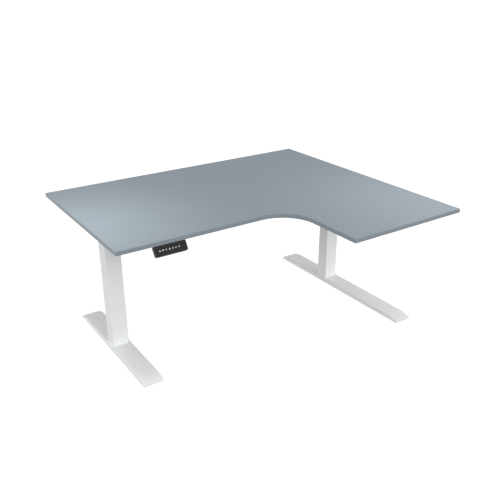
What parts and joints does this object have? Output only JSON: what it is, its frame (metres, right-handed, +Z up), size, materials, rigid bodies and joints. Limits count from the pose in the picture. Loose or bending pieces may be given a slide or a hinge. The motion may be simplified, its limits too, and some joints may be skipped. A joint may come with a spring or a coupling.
{
  "type": "height adjustable standing desk",
  "caption": "L-shaped grey-blue worktop on two motor-driven three-stage white columns with flat feet, and a black handset under the front edge.",
  "frame": {"origin": "on the floor under the middle of the worktop's bounding rectangle, desk fully lowered", "axes": "+Z up, +X to the user's right, the user sits on the -Y side in the inner corner"},
  "size_m": [1.4, 1.2, 0.6],
  "materials": {
    "worktop": "satin melamine",
    "edging": "satin ABS edging",
    "white_steel": "fine white powder coat",
    "zinc_steel": "bright zinc",
    "spindle_steel": "greased steel",
    "bronze": "cut bronze",
    "bearing_steel": "ground steel",
    "slider_plastic": "low-friction plastic",
    "gearbox_plastic": "moulded glass-filled nylon",
    "motor_black": "black enamel",
    "black_plastic": "fine-textured ABS",
    "gloss_black": "glossy",
    "circuit_board": "solder mask",
    "black_rubber": "matte",
    "cable_black": "satin PVC",
    "clip_white": "nylon"
  },
  "bodies": {
    "base": {"left_foot": "white_steel", "right_foot": "white_steel", "foot_bolts": "zinc_steel", "left_outer_tube": "white_steel", "right_outer_tube": "white_steel", "left_outer_bush": "slider_plastic", "right_outer_bush": "slider_plastic", "nut_tubes": "spindle_steel"},
    "left_middle": {"left_middle_tube": "white_steel", "left_middle_slider": "slider_plastic", "left_middle_bush": "slider_plastic", "left_hollow_spindle": "spindle_steel"},
    "right_middle": {"right_middle_tube": "white_steel", "right_middle_slider": "slider_plastic", "right_middle_bush": "slider_plastic", "right_hollow_spindle": "spindle_steel"},
    "left_spindle": {"left_drive_spindle": "bronze"},
    "right_spindle": {"right_drive_spindle": "bronze"},
    "upper": {"desktop": "worktop", "edge_band": "edging", "left_side_bracket": "white_steel", "right_side_bracket": "white_steel", "bracket_pads": "black_rubber", "desktop_screws": "zinc_steel", "front_rail": "white_steel", "rear_rail": "white_steel", "left_column_head": "white_steel", "right_column_head": "white_steel", "frame_bolts": "zinc_steel", "left_inner_tube": "white_steel", "right_inner_tube": "white_steel", "left_inner_slider": "slider_plastic", "right_inner_slider": "slider_plastic", "left_gearbox": "gearbox_plastic", "right_gearbox": "gearbox_plastic", "left_motor": "motor_black", "right_motor": "motor_black", "spindle_bearings": "bearing_steel", "control_box_shell": "black_plastic", "control_box_cover": "black_plastic", "control_board": "circuit_board", "power_inlet": "black_plastic", "handset_housing": "black_plastic", "handset_face": "gloss_black", "handset_board": "circuit_board", "left_motor_lead": "cable_black", "right_motor_lead": "cable_black", "handset_lead": "cable_black", "cable_clips": "clip_white"},
    "left_front_glide": {"left_front_glide": "black_rubber"},
    "left_rear_glide": {"left_rear_glide": "black_rubber"},
    "right_front_glide": {"right_front_glide": "black_rubber"},
    "right_rear_glide": {"right_rear_glide": "black_rubber"},
    "reminder_key": {"reminder_key": "gloss_black"},
    "memory_key": {"memory_key": "gloss_black"},
    "key_1": {"key_1": "gloss_black"},
    "key_2": {"key_2": "gloss_black"},
    "key_3": {"key_3": "gloss_black"},
    "down_key": {"down_key": "gloss_black"},
    "up_key": {"up_key": "gloss_black"}
  },
  "joints": [
    {"name": "lift", "type": "slide", "parent": "base", "child": "upper", "axis": [0, 0, 1], "range_m": [0, 0.65]},
    {"name": "left_middle_slide", "type": "slide", "parent": "base", "child": "left_middle", "axis": [0, 0, 1], "range_m": [0, 0.325]},
    {"name": "right_middle_slide", "type": "slide", "parent": "base", "child": "right_middle", "axis": [0, 0, 1], "range_m": [0, 0.325]},
    {"name": "left_spindle_turn", "type": "hinge", "parent": "upper", "child": "left_spindle", "pos_m": [-0.602, 0.117, 0.551], "axis": [0, 0, 1], "range_deg": [0, 23401]},
    {"name": "right_spindle_turn", "type": "hinge", "parent": "upper", "child": "right_spindle", "pos_m": [0.602, 0.117, 0.551], "axis": [0, 0, 1], "range_deg": [0, 23401]},
    {"name": "left_front_glide_screw", "type": "slide", "parent": "base", "child": "left_front_glide", "axis": [0, 0, -1], "range_m": [0, 0.008]},
    {"name": "left_rear_glide_screw", "type": "slide", "parent": "base", "child": "left_rear_glide", "axis": [0, 0, -1], "range_m": [0, 0.008]},
    {"name": "right_front_glide_screw", "type": "slide", "parent": "base", "child": "right_front_glide", "axis": [0, 0, -1], "range_m": [0, 0.008]},
    {"name": "right_rear_glide_screw", "type": "slide", "parent": "base", "child": "right_rear_glide", "axis": [0, 0, -1], "range_m": [0, 0.008]},
    {"name": "reminder_key_press", "type": "slide", "parent": "upper", "child": "reminder_key", "axis": [0, 0.829, -0.5592], "range_m": [0, 0.0008], "stiffness_N_per_m": 1000, "springref_m": -0.0005},
    {"name": "memory_key_press", "type": "slide", "parent": "upper", "child": "memory_key", "axis": [0, 0.829, -0.5592], "range_m": [0, 0.0008], "stiffness_N_per_m": 1000, "springref_m": -0.0005},
    {"name": "key_1_press", "type": "slide", "parent": "upper", "child": "key_1", "axis": [0, 0.829, -0.5592], "range_m": [0, 0.0008], "stiffness_N_per_m": 1000, "springref_m": -0.0005},
    {"name": "key_2_press", "type": "slide", "parent": "upper", "child": "key_2", "axis": [0, 0.829, -0.5592], "range_m": [0, 0.0008], "stiffness_N_per_m": 1000, "springref_m": -0.0005},
    {"name": "key_3_press", "type": "slide", "parent": "upper", "child": "key_3", "axis": [0, 0.829, -0.5592], "range_m": [0, 0.0008], "stiffness_N_per_m": 1000, "springref_m": -0.0005},
    {"name": "down_key_press", "type": "slide", "parent": "upper", "child": "down_key", "axis": [0, 0.829, -0.5592], "range_m": [0, 0.0008], "stiffness_N_per_m": 1000, "springref_m": -0.0005},
    {"name": "up_key_press", "type": "slide", "parent": "upper", "child": "up_key", "axis": [0, 0.829, -0.5592], "range_m": [0, 0.0008], "stiffness_N_per_m": 1000, "springref_m": -0.0005}
  ],
  "couplings": [
    {"joint": "left_middle_slide", "follows": "lift", "ratio": 0.5},
    {"joint": "right_middle_slide", "follows": "lift", "ratio": 0.5},
    {"joint": "left_spindle_turn", "follows": "lift", "rad_per_m": 628.32},
    {"joint": "right_spindle_turn", "follows": "lift", "rad_per_m": 628.32}
  ]
}
